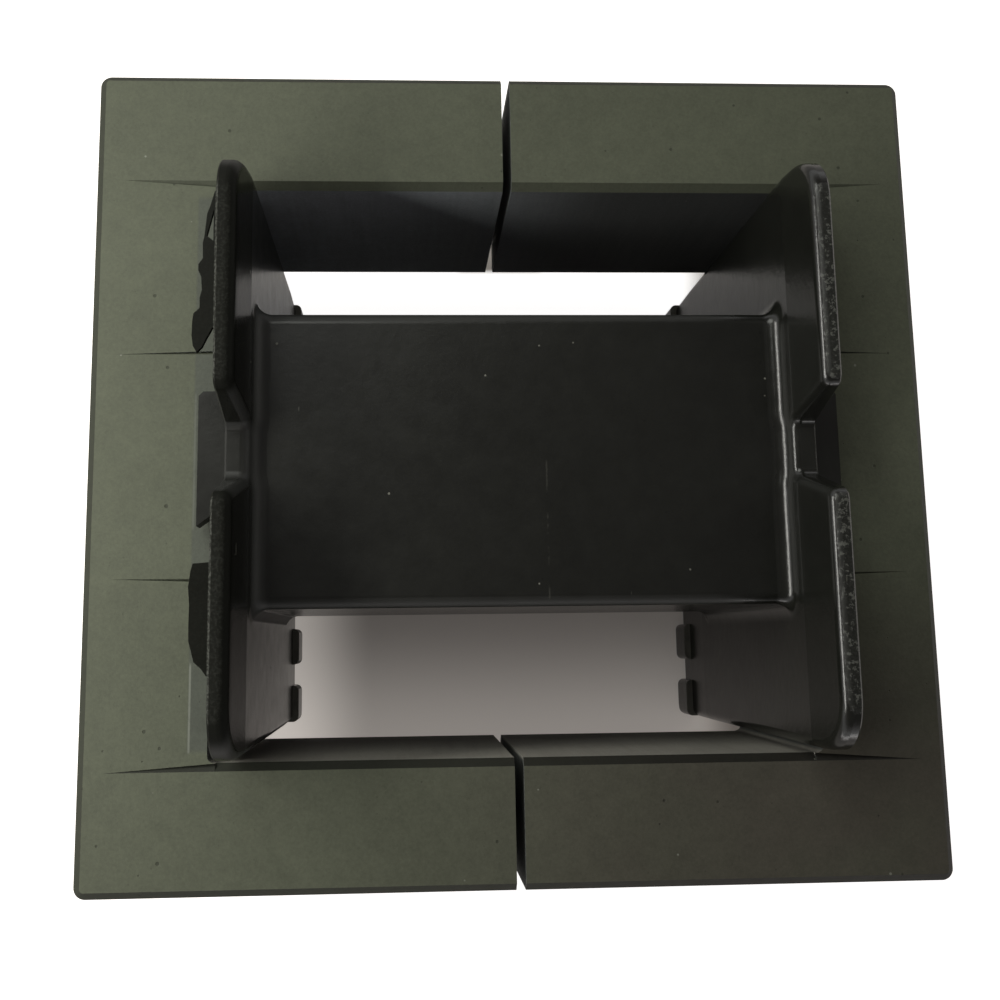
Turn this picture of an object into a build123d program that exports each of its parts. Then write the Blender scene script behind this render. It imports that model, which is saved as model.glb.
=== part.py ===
from build123d import *
import os

# A pair of large ferrite E cores with a moulded coil former on their shared middle legs.
# Millimetres. X runs along the legs, Y across them and Z up through the stack.
# The origin is the middle of the former's footprint, at the height it stands on.

# Ferrite halves: both are the same block, the right one turned half round.
core_width = 110.0
half_length = 55.8
core_depth = 36.0
outer_leg = 16.5
middle_leg = 31.0
yoke = 16.5
leg_gap = 1.2
core_edge = 1.0
back_round = 1.5
window_round = 1.0
# The edge line of each leg runs on into the yoke and fades out there.
runout_length = 14.0
runout_depth = 0.6
middle_runout_width = 0.5

# Coil former, tube: the legs rest on its floor.
wall = 2.7
side_clearance = 1.3
top_clearance = 0.9
bore_round = 0.6
tube_edge = 1.6
# The loose former lies a little off the middle of the cores, along them and across them.
former_slide = 0.9
former_shift = 0.3

# Coil former, flanges.
flange_setback = 1.6
flange_side_clearance = 1.0
flange_root = 3.3
flange_rim = 2.3
flange_foot = 3.0
root_land = 3.2
root_fillet = 2.2
rim_rise = 15.5
foot_drop = 21.0
ear_round = 6.4
foot_round = 2.2
rim_round = 1.4
rim_edge = 0.25

# Notch between the two ears of a flange, and the tongue under it.
notch_mouth = 13.2
notch_floor = 6.8
notch_offset = 0.5
notch_mouth_round = 1.8
notch_floor_round = 1.2
tongue_width = 17.6
tongue_chamfer = 0.6
tongue_cut = 1.7
tongue_cut_length = 2.3
tongue_lap = 2.2

# Terminal bosses in a row along each foot.
boss_count = 8
boss_pitch = 9.8
boss_width = 6.2
boss_height = 6.0
boss_reach = 1.2
boss_round = 1.0

# Ragged moulding flash left on the outer rim of the left flange.
flash_reach = 2.6
flash_thickness = 0.7

# How far every cutting shape runs past what it cuts.
overrun = 1.0

# Places worked out from the sizes above.
half_width = core_width / 2
window_half = half_width - outer_leg
leg_end = leg_gap / 2
yoke_back = leg_end + half_length
yoke_face = yoke_back - yoke
core_base = foot_drop
core_top = core_base + core_depth
bore_half = middle_leg / 2 + side_clearance
bore_top = core_top + top_clearance
tube_half = bore_half + wall
tube_base = core_base - wall
tube_top = bore_top + wall
flange_face = yoke_face - flange_setback
root_face = flange_face - flange_root
rim_face = flange_face - flange_rim
foot_face = flange_face - flange_foot
flange_half = window_half - flange_side_clearance
flange_top = core_top + rim_rise
notch_z = tube_top + root_fillet


def closed(points):
    """A flat face with the given corners."""
    return make_face(Polyline(points, close=True))


def pick(corners, x, y):
    """The one corner of a flat shape that is nearest to a point."""
    return sorted(corners, key=lambda v: (v.X - x) ** 2 + (v.Y - y) ** 2)[0]


def across(face, x, length):
    """Raises a shape drawn in Y and Z along X, from x over a length."""
    return extrude(Plane(origin=(x, 0, 0), x_dir=(0, 1, 0), z_dir=(1, 0, 0)) * face, length)


def leg_lines():
    """The legs' long edges on the windows: place in Y, the window's side, and width of the run-out."""
    return [
        (window_half, -1, core_edge),
        (middle_leg / 2, 1, middle_runout_width),
        (-middle_leg / 2, -1, middle_runout_width),
        (-window_half, 1, core_edge),
    ]


def e_outline():
    """The E of the left half, seen from above, with its back corners and window corners rounded."""
    face = closed([
        (-yoke_back, -half_width),
        (-leg_end, -half_width),
        (-leg_end, -window_half),
        (-yoke_face, -window_half),
        (-yoke_face, -middle_leg / 2),
        (-leg_end, -middle_leg / 2),
        (-leg_end, middle_leg / 2),
        (-yoke_face, middle_leg / 2),
        (-yoke_face, window_half),
        (-leg_end, window_half),
        (-leg_end, half_width),
        (-yoke_back, half_width),
    ])
    backs = [pick(face.vertices(), -yoke_back, side * half_width) for side in (-1, 1)]
    face = fillet(backs, back_round)
    insides = [pick(face.vertices(), -yoke_face, line[0]) for line in leg_lines()]
    return fillet(insides, window_round)


def leg_edge(place, side, z, outward):
    """What is taken off one long edge of a leg, on its window side, from its end to near the yoke."""
    past = core_edge + overrun
    corner = closed([
        (place + side * overrun, z - outward * past),
        (place + side * overrun, z + outward * overrun),
        (place - side * past, z + outward * overrun),
    ])
    start = -yoke_face + window_round
    return across(corner, start, -leg_end + overrun - start)


def runout(place, side, width, z, outward):
    """A shallow wedge that carries one leg's broken edge on into the yoke, to nothing."""
    start = -yoke_face + window_round
    solid_side = place - side * width
    mouth = closed([
        (start, place, z - outward * runout_depth),
        (start, solid_side, z),
        (start, solid_side, z + outward * overrun),
        (start, place, z + outward * overrun),
    ])
    tip = Vertex(start - runout_length, solid_side, z)
    return loft([mouth, tip])


def left_core():
    """One ferrite half: the E block, its broken outer edges, and its legs' edges with their run-outs."""
    block = Pos(0, 0, core_base) * extrude(e_outline(), core_depth)
    edges = [
        e for e in block.edges().filter_by(Axis.Z, reverse=True)
        if e.center().X < -yoke_face - window_round or abs(e.center().Y) > half_width - core_edge
    ]
    block = chamfer(edges, core_edge)
    for place, side, width in leg_lines():
        for z, outward in ((core_top, 1), (core_base, -1)):
            block = block - leg_edge(place, side, z, outward)
            block = block - runout(place, side, width, z, outward)
    return block


def flange_outline():
    """The plate of one flange in Y and Z: two ears over the legs, a notch between them and a foot."""
    face = closed([
        (-flange_half, 0),
        (flange_half, 0),
        (flange_half, flange_top),
        (notch_offset + notch_mouth / 2, flange_top),
        (notch_offset + notch_floor / 2, notch_z),
        (notch_offset - notch_floor / 2, notch_z),
        (notch_offset - notch_mouth / 2, flange_top),
        (-flange_half, flange_top),
    ])
    for middle, half, z, radius in [
        (0, flange_half, flange_top, ear_round),
        (0, flange_half, 0, foot_round),
        (notch_offset, notch_mouth / 2, flange_top, notch_mouth_round),
        (notch_offset, notch_floor / 2, notch_z, notch_floor_round),
    ]:
        corners = [pick(face.vertices(), middle + side * half, z) for side in (-1, 1)]
        face = fillet(corners, radius)
    return face


def flange_section():
    """The flange's thickness in X and Z: thick round the tube, thinner towards its rim and its foot."""
    return closed([
        (flange_face, 0),
        (flange_face, flange_top),
        (rim_face, flange_top),
        (root_face, tube_top + root_land),
        (root_face, tube_base - root_land),
        (foot_face, 0),
    ])


def flange_blank():
    """The flange's outline carried across more than its thickness."""
    return across(flange_outline(), root_face - boss_reach, flange_root + boss_reach)


def rim_edges(plate, on_outer):
    """The edges round the right-hand flange's outer face, or else round its inner one."""
    return [
        e for e in plate.edges().filter_by(Axis.X, reverse=True)
        if (e.center().X > flange_face - rim_edge) == on_outer
    ]


def flange():
    """The right-hand flange plate: well rounded round its inner face, lightly broken round its outer one."""
    section = Plane.XZ.offset(-half_width) * flange_section()
    plate = flange_blank() & extrude(section, core_width)
    plate = fillet(rim_edges(plate, False), rim_round)
    return chamfer(rim_edges(plate, True), rim_edge)


def bosses():
    """The row of terminal bosses along the inside of the right-hand foot."""
    first = -(boss_count - 1) / 2 * boss_pitch
    pad = closed([
        (flange_face - flange_foot / 2, -boss_width / 2),
        (flange_face - flange_foot / 2, boss_width / 2),
        (foot_face - boss_reach, boss_width / 2),
        (foot_face - boss_reach, -boss_width / 2),
    ])
    inner = [pick(pad.vertices(), foot_face - boss_reach, side * boss_width / 2) for side in (-1, 1)]
    boss = extrude(fillet(inner, boss_round), boss_height)
    row = [Pos(0, first + i * boss_pitch, 0) * boss for i in range(boss_count)]
    return [boss & flange_blank() for boss in row]


def tongue():
    """The right-hand tongue: the tube's roof carried on over the leg's root, with its tip above the yoke.

    On its near side it is cut in at a slant behind the tip.
    """
    tip = yoke_face + tongue_lap
    half = tongue_width / 2
    face = closed([
        (root_face, -half + tongue_cut),
        (tip - tongue_cut_length, -half + tongue_cut),
        (tip, -half),
        (tip, half - tongue_chamfer),
        (tip - tongue_chamfer, half),
        (root_face, half),
    ])
    return Pos(0, 0, bore_top) * extrude(face, wall)


def flash(shares, gap_shares):
    """A thin ragged fin on the left flange's outer rim, with a gap torn in it.

    Both are drawn in shares of the flange's half along the rim and of the reach out from it.
    """
    root = flange_face - flange_rim / 2
    rim = [(-root, shares[0][0] * flange_half), (-root, shares[-1][0] * flange_half)]
    ragged = [(-flange_face - reach * flash_reach, along * flange_half) for along, reach in shares]
    fin = closed([rim[0], *ragged, rim[1]])
    if gap_shares:
        fin = fin - closed([
            (-flange_face - reach * flash_reach, along * flange_half) for along, reach in gap_shares
        ])
    return Pos(0, 0, flange_top - rim_edge - flash_thickness) * extrude(fin, flash_thickness)


def tube():
    """The rectangular barrel between the flanges' outer faces, with its long edges rounded."""
    middle = (tube_base + tube_top) / 2
    skin = Pos(0, middle) * RectangleRounded(2 * tube_half, tube_top - tube_base, tube_edge)
    return across(skin, -flange_face, 2 * flange_face)


def bore():
    """The space for the middle legs, right through the former."""
    middle = (core_base + bore_top) / 2
    hole = Pos(0, middle) * RectangleRounded(2 * bore_half, bore_top - core_base, bore_round)
    return across(hole, -flange_face - overrun, 2 * (flange_face + overrun))


def root_edges(body):
    """The edges where the tube's skin runs into the inner faces of the two flanges."""
    near = root_fillet / 2
    return [
        e for e in body.edges()
        if abs(abs(e.center().X) - root_face) < near
        and abs(e.center().Y) < tube_half + near
        and tube_base - near < e.center().Z < tube_top + near
    ]


def coil_former():
    """The whole moulding: tube, two flanges, tongues, bosses and flash, with the bore cut through."""
    plate = flange()
    body = tube() + plate + mirror(plate, about=Plane.YZ)
    body = fillet(root_edges(body), root_fillet)
    for boss in bosses():
        body = body + boss + boss.rotate(Axis.Z, 180)
    body = body + tongue() + mirror(tongue(), about=Plane.YZ)
    body = body - bore()
    body = body + flash(far_flash_shares, far_gap_shares) + flash(near_flash_shares, [])
    return Pos(former_slide, former_shift, 0) * body


# Flash outlines: how far along the flange's half, then how far out towards the yoke.
far_flash_shares = [
    (0.834, 0.05), (0.783, 0.25), (0.756, 0.39), (0.679, 0.50), (0.656, 0.57), (0.605, 0.55),
    (0.585, 0.75), (0.565, 0.75), (0.542, 0.61), (0.498, 0.57), (0.474, 0.66), (0.438, 0.66),
    (0.421, 0.93), (0.397, 0.98), (0.347, 1.00), (0.313, 0.93), (0.293, 0.77), (0.310, 0.52),
    (0.337, 0.34), (0.374, 0.05),
]
far_gap_shares = [(0.772, 0.08), (0.682, 0.40), (0.664, 0.08)]
near_flash_shares = [
    (-0.380, 0.05), (-0.384, 0.73), (-0.407, 0.82), (-0.456, 0.91), (-0.512, 0.85), (-0.567, 0.86),
    (-0.625, 0.85), (-0.653, 0.73), (-0.687, 0.61), (-0.708, 0.27), (-0.730, 0.05),
]

os.makedirs("parts", exist_ok=True)
left = left_core()
export_step(left, "parts/left_e_core.step")
export_step(left.rotate(Axis.Z, 180), "parts/right_e_core.step")
export_step(coil_former(), "parts/coil_former.step")
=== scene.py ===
import bpy
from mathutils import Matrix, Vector

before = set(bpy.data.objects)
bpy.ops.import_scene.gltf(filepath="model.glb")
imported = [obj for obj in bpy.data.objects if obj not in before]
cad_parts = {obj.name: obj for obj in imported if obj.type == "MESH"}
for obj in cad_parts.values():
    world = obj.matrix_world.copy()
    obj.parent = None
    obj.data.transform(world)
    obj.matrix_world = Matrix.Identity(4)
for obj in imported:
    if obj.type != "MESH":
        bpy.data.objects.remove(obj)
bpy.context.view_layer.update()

# Camera, lamps and floor are placed in metres. The materials work on the part's own coordinates in
# millimetres, and so are the places and sizes for them.
#
# A pair such as (54.0, 80.0) is a soft step: 0 at the first number and 1 at the second, whichever of the
# two is larger. Two pairs together are the start and the end of a stretch.
MM = 1000.0
WHITE = (1.0, 1.0, 1.0, 1.0)

# Camera, fitted to the photograph.
CAMERA_PLACE = (-0.0144550, -0.0231544, 0.2018553)
CAMERA_TURN = (0.14316904624760726, -0.04359277931790074, -0.012863991510872926)
PHOTO_SIZE = 1000.0
FOCAL_PIXELS = 1099.9227
CENTRE_U = 454.66226
CENTRE_V = 480.71687
SENSOR = 36.0
CLIP_START = 0.005
CLIP_END = 50.0

# Lamps, all aimed at one point: place, width, height, watts, colour.
LAMP_AIM = (0.0, 0.0, 0.05)
LAMPS = {
    "key": ((-0.130, 0.000, 0.138), 0.18, 0.03, 0.218, (1.00, 0.99, 0.93)),
    "over": ((-0.060, 0.120, 0.150), 0.07, 0.07, 0.014, (0.98, 1.00, 0.93)),
    "far": ((-0.100, 0.174, 0.273), 0.14, 0.14, 0.222, (0.98, 1.00, 0.93)),
    "right": ((0.135, 0.045, 0.110), 0.06, 0.06, 0.018, (1.00, 1.00, 0.85)),
    "near_side": ((0.050, -0.600, 0.040), 0.90, 0.07, 0.700, (1.00, 0.97, 0.95)),
    "right_side": ((0.600, 0.050, 0.040), 0.90, 0.07, 0.600, (1.00, 0.98, 0.95)),
}

# World: a dim light, and a white background where it is seen, up to a height above the horizon.
WORLD_LEVEL = 0.13
WORLD_COLOUR = (1.0, 0.93, 0.93, 1.0)
HORIZON = (0.55, 0.10)

# Floor: one grey for the light that it throws on the object, and a colour of its own where it is seen.
FLOOR_HALF = 3.0
FLOOR_GREY = (0.60, 0.60, 0.60, 1.0)
FLOOR_SEEN_COLOUR = (0.85, 0.78, 0.73, 1.0)
FIBRE_NOISE = ((0.0, 0.0, 0.0), 0.8, 3.0, 0.5)
FIBRE_SHARE = 0.06

# The floor's white glow starts outside the part, and gets stronger away from it. Leaving it out under the
# part is a painted shade there.
GLOW_AWAY = (90.0, 300.0)
GLOW_LEVELS = (0.93, 1.0)
GLOW_IN_GLOSS = 0.20
GLOW_LEFT = (-50.0, -70.0)
GLOW_RIGHT = (54.0, 80.0)
GLOW_NEAR = (-50.0, -65.0)
GLOW_FAR = (54.0, 80.0)

# A strip of it under the far window is painted light. It fades out behind the part, but ends sooner where it
# would be seen through the narrow space between the far legs.
STRIP_START = (29.0, 35.5)
STRIP_END = (46.8, 45.4)
STRIP_FADE = (56.0, 45.4)
GAP_X = 3.8
GAP_SIDES = (4.0, 9.0)
WINDOW_SIDES = (46.0, 38.0)

# A dim glow under the near window is painted light: stronger at its near side and at its left end.
DIM_STRETCH = ((-52.0, -46.0), (-10.0, -16.0))
DIM_Y = (-42.0, -18.0)
DIM_Y_LEVELS = (0.19, 0.05)
DIM_X = (-38.0, -20.0)
DIM_X_LEVELS = (0.27, 0.0)
DIM_IN_GLOSS = 0.60
DIM_COLOUR = (1.0, 0.93, 0.86, 1.0)
LEAST_GLOW = 0.001

# Patterns. Noise: offset, scale per millimetre, detail, roughness. Specks: offset, cells per millimetre,
# size as a share of a cell, share of the cells that have one.
FERRITE_CLOUD = ((0.0, 0.0, 0.0), 0.055, 2.0, 0.55)
FERRITE_MOTTLE = ((31.0, 7.0, 3.0), 0.42, 4.0, 0.65)
FERRITE_GRAIN = ((5.0, 61.0, 17.0), 2.4, 3.0, 0.70)
FERRITE_STREAKS = ((0.0, 0.0, 0.0), 1.1, 3.0, 0.6)
STREAK_STRETCH = (1.0, 1.0, 0.06)
FERRITE_PITS = ((13.0, 3.0, 29.0), 0.42, 0.10, 0.42)
FERRITE_DOTS = ((3.0, 43.0, 19.0), 1.10, 0.13, 0.30)
FERRITE_GLINTS = ((71.0, 23.0, 9.0), 0.33, 0.07, 0.30)
FORMER_PEEL = ((0.0, 0.0, 0.0), 0.75, 2.0, 0.5)
FORMER_CLOUD = ((3.0, 19.0, 41.0), 0.06, 3.0, 0.55)
FORMER_BLOTCH = ((29.0, 5.0, 37.0), 0.30, 3.0, 0.65)
FORMER_FINE = ((47.0, 3.0, 11.0), 2.8, 3.0, 0.65)
FORMER_TORN = ((7.0, 67.0, 23.0), 1.7, 4.0, 0.7)
FORMER_DUST = ((17.0, 53.0, 5.0), 0.26, 0.055, 0.55)
FORMER_LINT = ((9.0, 5.94, 33.0), 0.30, 0.05, 0.30)
LINT_STRETCH = (1.0, 0.22, 1.0)
FORMER_PITS = ((61.0, 7.0, 13.0), 0.50, 0.09, 0.35)
SPECK_LEAST = 0.3
SPECK_SOFT = 0.4
NOISE_MEAN = 0.5
# The bump's distance is in metres.
BUMP_DISTANCE = 0.00007
BUMP_STRENGTH = 0.60

# Ferrite: which faces are level or upright, and where the surface changes.
FLAT_FACING = (0.90, 0.97)
SIDE_FACING = (0.30, 0.10)
MIDDLE_LEG_Y = (15.7, 15.3)
OUTER_LEG_Y = (38.3, 38.7)
OUTLINE_X = (52.0, 54.0)
OUTLINE_Y = (50.0, 52.0)
NEAR_INSIDE = ((-41.0, -39.5), (-35.0, -37.0))
WINDOW_X = (41.0, 40.5)
FAR_WALL = ((38.0, 38.4), (39.0, 38.6))
NEAR_WALL = ((-39.0, -38.6), (-38.0, -38.4))

# Ferrite's colours, with painted shade darker and warmer towards the near right, upright faces tinted
# the bluer grey of shade, and painted light and shade on the walls of the two windows: the far wall pale
# at its left and dark at its right, the near wall pale.
FERRITE_COLOUR = (0.090, 0.098, 0.069, 1.0)
FERRITE_WARM_SHADE = (0.067, 0.062, 0.049, 1.0)
FERRITE_SIDE_SHADE_TINT = (0.090, 0.096, 0.090, 1.0)
FERRITE_GLINT = (0.28, 0.29, 0.25, 1.0)
GLINT_SHARE = 0.55
WARM_X = (-30.0, 30.0)
WARM_Y = (-8.0, -42.0)
WARM_CLOUD = (0.30, 0.60)
WARM_SHARES = (0.75, 1.0)
FAR_WALL_PAINTED_LIGHT = (0.520, 0.560, 0.600, 1.0)
FAR_WALL_PAINTED_SHADE = (0.062, 0.064, 0.064, 1.0)
FAR_WALL_X = (18.0, -38.0)
NEAR_WALL_PAINTED_LIGHT = (0.280, 0.270, 0.240, 1.0)

# Ferrite's tone: a base, and what each pattern and place adds to it or takes off.
FERRITE_TONE = 0.43
CLOUD_TONE = 0.24
MOTTLE_TONE = 0.38
GRAIN_TONE = 0.52
# The middle and outer legs' tones are a faint painted shade.
MIDDLE_TONE = 0.035
OUTER_TONE = -0.025
STREAK_TONE = 0.30
PIT_DARK = 0.45
DOT_DARK = 0.18
BROKEN_DARK = 0.30
OUTLINE_DARK = 0.35
# Painted shade on the broken edges along the near window.
NEAR_INSIDE_SHADE = 0.50

# A painted shadow of the flange: a darker band on the left core's yoke beside it; and a painted highlight:
# a pale line along the band's left side.
SHADOW_BAND_X = ((-42.6, -42.2), (-38.8, -39.0))
SHADOW_BAND_Y = (37.5, 36.5)
SHADOW_BAND_COLOUR = (0.072, 0.079, 0.064)
LINE_X = -42.25
LINE_SIDES = (0.208, 0.052)
LINE_NEAR = ((-37.4, -36.9), (-25.5, -26.5))
LINE_MIDDLE = ((-9.0, -8.0), (10.0, 9.0))
LINE_MIDDLE_SHARE = 0.35
LINE_MOTTLE = (0.35, 0.50)
LINE_SHARES = (0.55, 0.95)
LINE_HIGHLIGHT_COLOUR = (0.170, 0.180, 0.152, 1.0)

# Ferrite's gloss and skin.
FERRITE_ROUGHNESS = 0.56
MOTTLE_ROUGHNESS = 0.20
FERRITE_SPECULAR = 0.25
GRAIN_HEIGHT = 0.6
MOTTLE_HEIGHT = 0.8
PIT_HEIGHT = -1.2

# Coil former's colours and tone.
FORMER_COLOUR = (0.0092, 0.0096, 0.0078)
FORMER_WEAR_AND_HIGHLIGHT_COLOUR = (0.100, 0.103, 0.092, 1.0)
FORMER_DUST_AND_LIGHT_COLOUR = (0.20, 0.20, 0.17, 1.0)
FORMER_TONE = 0.45
FORMER_CLOUD_TONE = 0.40
FORMER_BLOTCH_TONE = 0.35
FORMER_FINE_TONE = 0.35
FORMER_PIT_DARK = 0.40

# The flanges' rims: their top face, the outer edge below it, and the thin flash that stands out past it.
RIM_FACE_Z = (72.20, 72.40)
RIM_EDGE_Z = (72.18, 72.26)
RIM_UPPER_Z = (69.5, 71.5)
LEFT_EDGE_X = (-37.06, -37.18)
RIGHT_EDGE_X = (38.86, 38.98)
LEFT_FLASH_X = (-37.42, -37.50)
RIGHT_FLASH_X = (39.22, 39.30)
TORN_X = (0.0, 1.0)
TORN_NOISE = (0.54, 0.61)
TORN_SHARES = (0.0, 0.90)
WORN_FACE_NOISE = (0.45, 0.65)
WORN_FACE_SHARES = (0.02, 0.12)
# The outer edges' lighter line is a painted highlight.
EDGE_HIGHLIGHT_NOISE = (0.46, 0.60)
EDGE_HIGHLIGHT_SHARES = (0.15, 0.60)

# Dust, lint, the seam along the tube's top, and painted light on the ledges low down on the bosses.
DUST_SHARE = 0.75
LINT_SHARE = 0.40
SEAM_X = 4.0
SEAM_SIDES = (0.16, 0.05)
SEAM_Y = ((-19.0, -18.0), (2.5, -1.5))
TUBE_TOP_Z = (60.4, 60.5)
SEAM_BLOTCH = (0.42, 0.56)
SEAM_SHARE = 0.10
LEDGE_Z = (24.0, 20.0)
LEDGE_FACING = (0.80, 0.95)
LEDGE_BLOTCH = (0.30, 0.60)
LEDGE_SHARES = (0.80, 1.0)

# Coil former's gloss and skin: dull at the left and glossy at the right on rounded places.
DULL_X = (25.0, 32.0)
ROUND_ROUGHNESS = (0.55, 0.20)
TOP_FACING = (0.965, 0.995)
TOP_ROUGHNESS = 0.35
UPRIGHT_FACING = (0.90, 0.96)
UPRIGHT_ROUGHNESS = 0.22
BLOTCH_ROUGHNESS = 0.14
MARKS_ROUGHNESS = 0.25
FORMER_SPECULAR = 0.45
RIM_SPECULAR_DROP = 0.40
TOP_DULL_SHARE = 0.50
PEEL_HEIGHT = 0.5
FINE_HEIGHT = 0.25
TORN_HEIGHT = 0.8


class Nodes:
    """A node tree with short calls: numbers, tuples and sockets can be given alike."""

    def __init__(self, tree):
        self.tree = tree
        tree.nodes.clear()

    def add(self, kind, inputs=(), **settings):
        node = self.tree.nodes.new(kind)
        for name, value in settings.items():
            setattr(node, name, value)
        for key, value in dict(inputs).items():
            self.put(node.inputs[key], value)
        return node

    def put(self, socket, value):
        if isinstance(value, bpy.types.NodeSocket):
            self.tree.links.new(value, socket)
        else:
            socket.default_value = value

    def math(self, operation, first, second=0.0, clamp=False):
        node = self.add("ShaderNodeMath", {0: first, 1: second}, operation=operation, use_clamp=clamp)
        return node.outputs[0]

    def product(self, first, *others):
        for other in others:
            first = self.math("MULTIPLY", first, other)
        return first

    def highest(self, first, *others):
        for other in others:
            first = self.math("MAXIMUM", first, other)
        return first

    def total(self, start, *terms):
        """start plus every term, which is a value and its weight."""
        for value, weight in terms:
            start = self.math("ADD", start, self.math("MULTIPLY", value, weight))
        return start

    def less(self, *factors):
        """1 less the product of the factors."""
        return self.math("SUBTRACT", 1.0, self.product(*factors))

    def off(self, value, centre=0.0):
        """How far a value is off the centre, on either side."""
        return self.math("ABSOLUTE", self.math("SUBTRACT", value, centre))

    def vector(self, operation, vector, by):
        return self.add("ShaderNodeVectorMath", {0: vector, 1: by}, operation=operation).outputs[0]

    def split(self, vector):
        return tuple(self.add("ShaderNodeSeparateXYZ", {0: vector}).outputs)

    def ramp(self, value, start, end, out_start=0.0, out_end=1.0):
        """A value brought from start..end to out_start..out_end with soft ends."""
        inputs = {0: value, 1: start, 2: end, 3: out_start, 4: out_end}
        return self.add("ShaderNodeMapRange", inputs, interpolation_type="SMOOTHSTEP").outputs[0]

    def within(self, value, start, end):
        """1 on the stretch between two soft steps, 0 past them."""
        return self.product(self.ramp(value, *start), self.ramp(value, *end))

    def noise(self, vector, offset, per_mm, detail, rough):
        place = self.vector("ADD", vector, offset)
        inputs = {"Vector": place, "Scale": per_mm, "Detail": detail, "Roughness": rough}
        return self.add("ShaderNodeTexNoise", inputs).outputs[0]

    def specks(self, vector, offset, per_mm, size, share):
        """1 on small scattered specks, 0 between."""
        inputs = {"Vector": self.vector("ADD", vector, offset), "Scale": per_mm}
        cells = self.add("ShaderNodeTexVoronoi", inputs, feature="F1", distance="EUCLIDEAN")
        pick, other, _ = self.split(cells.outputs["Color"])
        chosen = self.math("LESS_THAN", pick, share)
        radius = self.product(self.math("ADD", other, SPECK_LEAST), size)
        inside = self.math("SUBTRACT", radius, cells.outputs["Distance"])
        return self.product(self.ramp(inside, 0.0, size * SPECK_SOFT), chosen)

    def tone(self, colour, factor):
        """A colour made lighter or darker by a factor that varies over the surface."""
        return self.add("ShaderNodeVectorMath", {0: colour, 3: factor}, operation="SCALE").outputs[0]

    def blend(self, share, first, second):
        inputs = {0: share, 6: first, 7: second}
        return self.add("ShaderNodeMix", data_type="RGBA", clamp_factor=True, inputs=inputs).outputs[2]

    def bump(self, height):
        inputs = {"Height": height, "Distance": BUMP_DISTANCE, "Strength": BUMP_STRENGTH}
        return self.add("ShaderNodeBump", inputs).outputs[0]


def new_material(name):
    material = bpy.data.materials.new(name)
    material.use_nodes = True
    return material, Nodes(material.node_tree)


def surface(nodes, inputs):
    shader = nodes.add("ShaderNodeBsdfPrincipled", inputs)
    nodes.add("ShaderNodeOutputMaterial", {"Surface": shader.outputs[0]})


def part_coordinates(nodes):
    """Coordinates in the part's frame in millimetres, and the surface's own direction."""
    place = nodes.add("ShaderNodeTexCoord")
    return nodes.vector("MULTIPLY", place.outputs["Object"], (MM, MM, MM)), place.outputs["Normal"]


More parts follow.
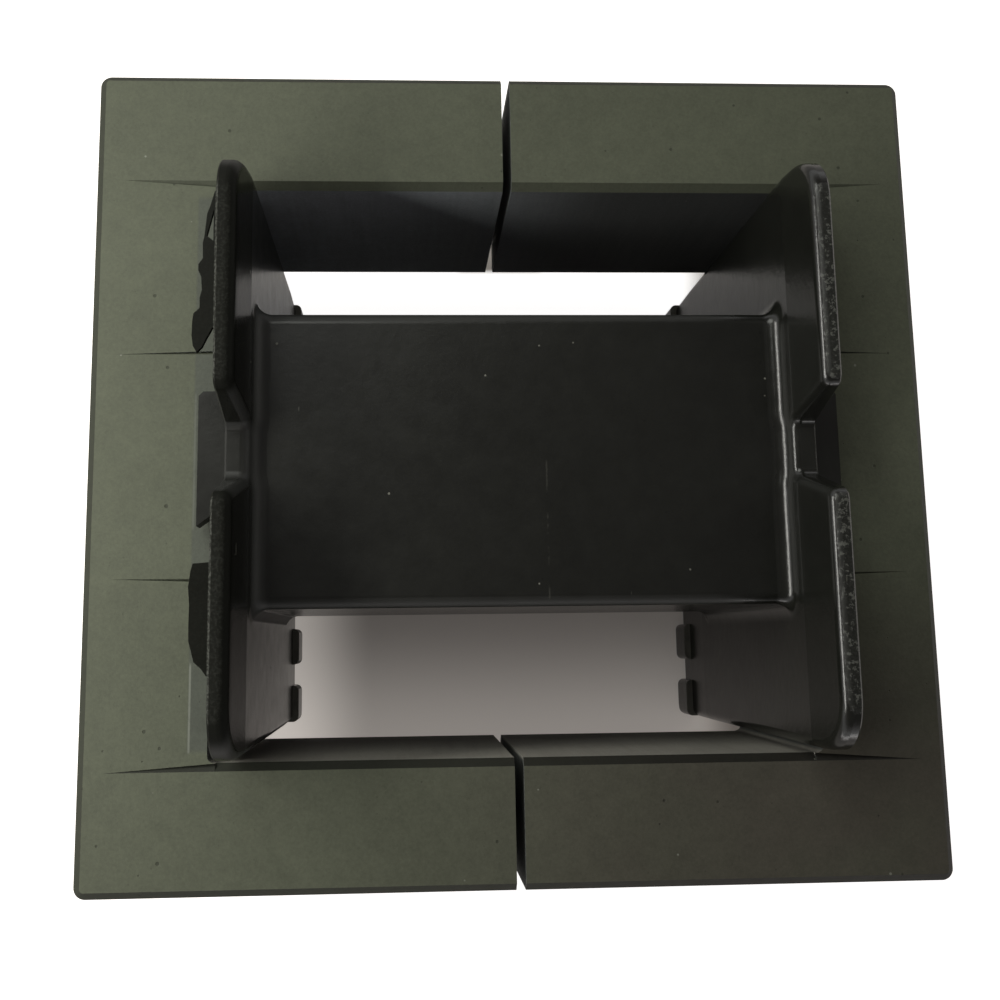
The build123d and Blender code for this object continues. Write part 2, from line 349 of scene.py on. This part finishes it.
def ferrite():
    """Pressed and ground soft ferrite: grey green, matt, mottled, with pits, a few painted glints and
    painted light and shade in places.
    """
    material, n = new_material("ferrite")
    mm, facing = part_coordinates(n)
    x, y, _ = n.split(mm)
    far_x, far_y = n.off(x), n.off(y)
    up_or_down = n.off(n.split(facing)[2])
    flat = n.ramp(up_or_down, *FLAT_FACING)
    side_on = n.ramp(up_or_down, *SIDE_FACING)
    cloud = n.noise(mm, *FERRITE_CLOUD)
    mottle = n.noise(mm, *FERRITE_MOTTLE)
    grain = n.noise(mm, *FERRITE_GRAIN)
    streaks = n.noise(n.vector("MULTIPLY", mm, STREAK_STRETCH), *FERRITE_STREAKS)
    pits = n.specks(mm, *FERRITE_PITS)
    dots = n.specks(mm, *FERRITE_DOTS)
    painted_glints = n.specks(mm, *FERRITE_GLINTS)

    # Tone: a faint painted shade makes the middle leg's top a little lighter and the outer legs' tops a
    # little darker, the sides have grinding streaks, and the broken edges are darker, most of all on the
    # outline and along the near window, where the extra darkening is painted shade.
    tone = n.total(FERRITE_TONE, (cloud, CLOUD_TONE), (mottle, MOTTLE_TONE), (grain, GRAIN_TONE))
    middle, outer = n.ramp(far_y, *MIDDLE_LEG_Y), n.ramp(far_y, *OUTER_LEG_Y)
    legs_painted_shade = n.total(0.0, (middle, MIDDLE_TONE), (outer, OUTER_TONE))
    streak = n.product(n.math("SUBTRACT", streaks, NOISE_MEAN), STREAK_TONE)
    tone = n.total(tone, (legs_painted_shade, flat), (streak, side_on))
    outline = n.highest(n.ramp(far_y, *OUTLINE_Y), n.ramp(far_x, *OUTLINE_X))
    # Painted shade: the broken edges along the near window are darkened further.
    near_inside_shade = n.product(n.within(y, *NEAR_INSIDE), n.less(outline))
    darker = n.total(BROKEN_DARK, (outline, OUTLINE_DARK), (near_inside_shade, NEAR_INSIDE_SHADE))
    broken = n.math("SUBTRACT", 1.0, n.highest(flat, side_on), clamp=True)
    tone = n.product(tone, n.less(pits, PIT_DARK), n.less(dots, DOT_DARK), n.less(broken, darker))

    # Painted shade: darker and warmer towards the near right.
    warm_shade = n.product(n.ramp(x, *WARM_X), n.ramp(y, *WARM_Y), n.ramp(cloud, *WARM_CLOUD, *WARM_SHARES))
    own = n.blend(warm_shade, FERRITE_COLOUR, FERRITE_WARM_SHADE)
    # Painted shade tint: upright faces take a bluer grey, the colour of shade.
    own = n.blend(side_on, own, FERRITE_SIDE_SHADE_TINT)
    # Painted light and shade on the windows' walls: the far wall pale at its left and dark at its right, the
    # near wall pale.
    in_window = n.product(side_on, n.ramp(far_x, *WINDOW_X))
    far_wall_light_and_shade = n.blend(n.ramp(x, *FAR_WALL_X), FAR_WALL_PAINTED_SHADE, FAR_WALL_PAINTED_LIGHT)
    own = n.blend(n.product(in_window, n.within(y, *FAR_WALL)), own, far_wall_light_and_shade)
    own = n.blend(n.product(in_window, n.within(y, *NEAR_WALL)), own, NEAR_WALL_PAINTED_LIGHT)
    colour = n.tone(own, tone)

    # Painted shadow of the left flange on the yoke beside it.
    painted_shadow_band = n.product(n.within(x, *SHADOW_BAND_X), n.ramp(far_y, *SHADOW_BAND_Y), flat)
    colour = n.blend(painted_shadow_band, colour, n.tone(SHADOW_BAND_COLOUR, tone))
    # Painted highlight: a pale line along the shadow band's left side.
    highlight_line_middle = n.product(n.within(y, *LINE_MIDDLE), LINE_MIDDLE_SHARE)
    along = n.highest(n.within(y, *LINE_NEAR), highlight_line_middle)
    painted_highlight_line = n.product(n.ramp(n.off(x, LINE_X), *LINE_SIDES), along, flat)
    colour = n.blend(n.product(painted_highlight_line, n.ramp(mottle, *LINE_MOTTLE, *LINE_SHARES)), colour, LINE_HIGHLIGHT_COLOUR)
    # Painted glints: a few specks made bright.
    colour = n.blend(n.product(painted_glints, GLINT_SHARE), colour, FERRITE_GLINT)

    height = n.total(0.0, (grain, GRAIN_HEIGHT), (mottle, MOTTLE_HEIGHT), (pits, PIT_HEIGHT))
    surface(n, {
        "Base Color": colour,
        "Roughness": n.total(FERRITE_ROUGHNESS, (mottle, MOTTLE_ROUGHNESS)),
        "Specular IOR Level": FERRITE_SPECULAR,
        "Normal": n.bump(height),
    })
    return material


def former_plastic():
    """Black moulded phenolic: half gloss, with a faint skin, dust, a seam, rims worn lighter and painted
    light in places.
    """
    material, n = new_material("former_plastic")
    mm, facing = part_coordinates(n)
    x, y, z = n.split(mm)
    face_x, face_y, face_z = n.split(facing)
    peel = n.noise(mm, *FORMER_PEEL)
    cloud = n.noise(mm, *FORMER_CLOUD)
    blotch = n.noise(mm, *FORMER_BLOTCH)
    fine = n.noise(mm, *FORMER_FINE)
    dust = n.specks(mm, *FORMER_DUST)
    lint = n.specks(n.vector("MULTIPLY", mm, LINT_STRETCH), *FORMER_LINT)
    pits = n.specks(mm, *FORMER_PITS)

    tone = n.total(
        FORMER_TONE, (cloud, FORMER_CLOUD_TONE), (blotch, FORMER_BLOTCH_TONE), (fine, FORMER_FINE_TONE)
    )
    colour = n.tone(FORMER_COLOUR, n.product(tone, n.less(pits, FORMER_PIT_DARK)))

    # Faint wear on the rims' faces; on the right one a torn speckle, a rough torn face whose lighter colour
    # is partly painted sparkle; and along the outer edges a lighter line that is a painted highlight.
    rim = n.ramp(z, *RIM_FACE_Z)
    edge = n.highest(n.ramp(x, *LEFT_EDGE_X), n.ramp(x, *RIGHT_EDGE_X))
    flash = n.highest(n.ramp(x, *LEFT_FLASH_X), n.ramp(x, *RIGHT_FLASH_X))
    edge = n.product(edge, n.ramp(z, *RIM_EDGE_Z), n.less(flash))
    torn = n.product(n.ramp(x, *TORN_X), n.ramp(n.noise(mm, *FORMER_TORN), *TORN_NOISE, *TORN_SHARES))
    # The torn speckle is a rough torn face; its lighter colour is partly painted sparkle.
    rim_wear_and_sparkle = n.product(rim, n.highest(torn, n.ramp(fine, *WORN_FACE_NOISE, *WORN_FACE_SHARES)))
    # Painted highlight: a lighter line along the rims' outer edges.
    painted_edge_highlight = n.product(edge, n.ramp(fine, *EDGE_HIGHLIGHT_NOISE, *EDGE_HIGHLIGHT_SHARES))
    colour = n.blend(n.highest(rim_wear_and_sparkle, painted_edge_highlight), colour, FORMER_WEAR_AND_HIGHLIGHT_COLOUR)

    seam = n.product(
        n.ramp(n.off(x, SEAM_X), *SEAM_SIDES), n.ramp(z, *TUBE_TOP_Z), n.within(y, *SEAM_Y),
        n.ramp(blotch, *SEAM_BLOTCH), SEAM_SHARE,
    )
    # Painted light: the upward faces of the ledges low on the bosses are made lighter.
    painted_light_ledge = n.product(
        n.ramp(z, *LEDGE_Z), n.ramp(face_z, *LEDGE_FACING), n.ramp(blotch, *LEDGE_BLOTCH, *LEDGE_SHARES)
    )
    dust_and_painted_light = n.highest(n.product(dust, DUST_SHARE), n.product(lint, LINT_SHARE), seam, painted_light_ledge)
    colour = n.blend(dust_and_painted_light, colour, FORMER_DUST_AND_LIGHT_COLOUR)

    # Gloss: rounded places have their own, and top faces and upright faces another.
    top_on = n.ramp(n.off(face_z), *TOP_FACING)
    side_on = n.ramp(n.highest(n.off(face_x), n.off(face_y)), *UPRIGHT_FACING)
    rounded = n.ramp(x, *DULL_X, *ROUND_ROUGHNESS)
    rough = n.total(
        rounded,
        (top_on, n.math("SUBTRACT", TOP_ROUGHNESS, rounded)),
        (side_on, n.math("SUBTRACT", UPRIGHT_ROUGHNESS, rounded)),
        (n.math("SUBTRACT", blotch, NOISE_MEAN), BLOTCH_ROUGHNESS),
        (n.highest(dust_and_painted_light, rim), MARKS_ROUGHNESS),
    )
    dull = n.highest(n.ramp(x, *DULL_X, 1.0, 0.0), n.product(top_on, TOP_DULL_SHARE))
    drop = n.product(dull, n.ramp(z, *RIM_UPPER_Z), RIM_SPECULAR_DROP)
    rim_skin = n.product(rim, n.math("ADD", fine, torn))
    height = n.total(0.0, (peel, PEEL_HEIGHT), (fine, FINE_HEIGHT), (rim_skin, TORN_HEIGHT))
    surface(n, {
        "Base Color": colour,
        "Roughness": rough,
        "Specular IOR Level": n.math("SUBTRACT", FORMER_SPECULAR, drop),
        "Normal": n.bump(height),
    })
    return material


def seen_ray(nodes):
    """1 for the rays by which the background is seen: the camera's, and those off gloss or through glass."""
    path = nodes.add("ShaderNodeLightPath").outputs
    return nodes.highest(path["Is Camera Ray"], path["Is Glossy Ray"], path["Is Transmission Ray"])


def floor_material():
    """Pale floor. Where it is seen it also glows: white round the part, as painted light under its far
    window, and dimly under its near window. Elsewhere under the part only the lamps light it, a painted
    shade."""
    material, n = new_material("floor")
    seen = seen_ray(n)
    gloss = n.add("ShaderNodeLightPath").outputs["Is Glossy Ray"]
    mm, _ = part_coordinates(n)
    x, y, _ = n.split(mm)
    window = n.ramp(n.off(x), *WINDOW_SIDES)

    # Painted light: the strip under the far window.
    off_gap = n.ramp(n.off(x, GAP_X), *GAP_SIDES)
    strip_end = n.highest(n.product(n.ramp(y, *STRIP_FADE), off_gap), n.ramp(y, *STRIP_END))
    painted_light_strip = n.product(n.ramp(y, *STRIP_START), strip_end, window)
    # Painted shade: no glow under the part.
    lit = n.highest(
        n.ramp(x, *GLOW_LEFT), n.ramp(x, *GLOW_RIGHT), n.ramp(y, *GLOW_NEAR), n.ramp(y, *GLOW_FAR), painted_light_strip
    )
    away = n.add("ShaderNodeVectorMath", {0: mm}, operation="LENGTH").outputs["Value"]
    white_in_gloss = n.ramp(gloss, 0.0, 1.0, 1.0, GLOW_IN_GLOSS)
    white = n.product(n.ramp(away, *GLOW_AWAY, *GLOW_LEVELS), lit, white_in_gloss)

    # Painted light: the dim glow under the near window.
    dim_painted_light = n.math("ADD", n.ramp(y, *DIM_Y, *DIM_Y_LEVELS), n.ramp(x, *DIM_X, *DIM_X_LEVELS))
    dim_in_gloss = n.ramp(gloss, 0.0, 1.0, 1.0, DIM_IN_GLOSS)
    dim_painted_light = n.product(dim_painted_light, n.within(y, *DIM_STRETCH), window, n.less(lit), dim_in_gloss)
    glow = n.math("ADD", white, dim_painted_light)
    tint = n.blend(n.math("DIVIDE", dim_painted_light, n.highest(glow, LEAST_GLOW)), WHITE, DIM_COLOUR)

    albedo = n.blend(seen, FLOOR_GREY, FLOOR_SEEN_COLOUR)
    albedo = n.blend(n.product(n.noise(mm, *FIBRE_NOISE), FIBRE_SHARE), albedo, FLOOR_GREY)
    diffuse = n.add("ShaderNodeBsdfDiffuse", {"Color": albedo})
    emission = n.add("ShaderNodeEmission", {"Color": tint, "Strength": n.product(glow, seen)})
    both = n.add("ShaderNodeAddShader", {0: diffuse.outputs[0], 1: emission.outputs[0]})
    n.add("ShaderNodeOutputMaterial", {"Surface": both.outputs[0]})
    return material


def make_floor():
    mesh = bpy.data.meshes.new("floor")
    h = FLOOR_HALF
    mesh.from_pydata([(-h, -h, 0), (h, -h, 0), (h, h, 0), (-h, h, 0)], [], [(0, 1, 2, 3)])
    floor = bpy.data.objects.new("floor", mesh)
    bpy.context.scene.collection.objects.link(floor)
    mesh.materials.append(floor_material())


def make_world():
    world = bpy.data.worlds.new("studio")
    bpy.context.scene.world = world
    world.use_nodes = True
    n = Nodes(world.node_tree)
    up = n.split(n.add("ShaderNodeTexCoord").outputs["Generated"])[2]
    white = n.product(seen_ray(n), n.ramp(up, *HORIZON))
    back = n.add("ShaderNodeBackground", {
        "Color": n.blend(white, WORLD_COLOUR, WHITE),
        "Strength": n.total(WORLD_LEVEL, (white, 1.0 - WORLD_LEVEL)),
    })
    n.add("ShaderNodeOutputWorld", {"Surface": back.outputs[0]})


def make_lamps():
    for name, (place, width, height, watts, colour) in LAMPS.items():
        data = bpy.data.lights.new(name, "AREA")
        data.shape = "RECTANGLE"
        data.size = width
        data.size_y = height
        data.energy = watts
        data.color = colour
        lamp = bpy.data.objects.new(name, data)
        lamp.visible_camera = False
        lamp.location = place
        lamp.rotation_euler = (Vector(LAMP_AIM) - Vector(place)).to_track_quat("-Z", "Y").to_euler()
        bpy.context.scene.collection.objects.link(lamp)


def make_camera():
    data = bpy.data.cameras.new("camera")
    data.sensor_width = SENSOR
    data.lens = FOCAL_PIXELS / PHOTO_SIZE * SENSOR
    data.shift_x = (PHOTO_SIZE / 2 - CENTRE_U) / PHOTO_SIZE
    data.shift_y = (CENTRE_V - PHOTO_SIZE / 2) / PHOTO_SIZE
    data.clip_start = CLIP_START
    data.clip_end = CLIP_END
    camera = bpy.data.objects.new("camera", data)
    camera.location = CAMERA_PLACE
    camera.rotation_euler = CAMERA_TURN
    bpy.context.scene.collection.objects.link(camera)
    bpy.context.scene.camera = camera


def dress(name, material):
    """Gives a CAD node its material."""
    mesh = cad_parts[name].data
    if not mesh.materials:
        mesh.materials.append(material)
    for i in range(len(mesh.materials)):
        mesh.materials[i] = material


core = ferrite()
dress("left_e_core", core)
dress("right_e_core", core)
dress("coil_former", former_plastic())

make_floor()
make_world()
make_lamps()
make_camera()
bpy.context.scene.view_settings.view_transform = "Standard"
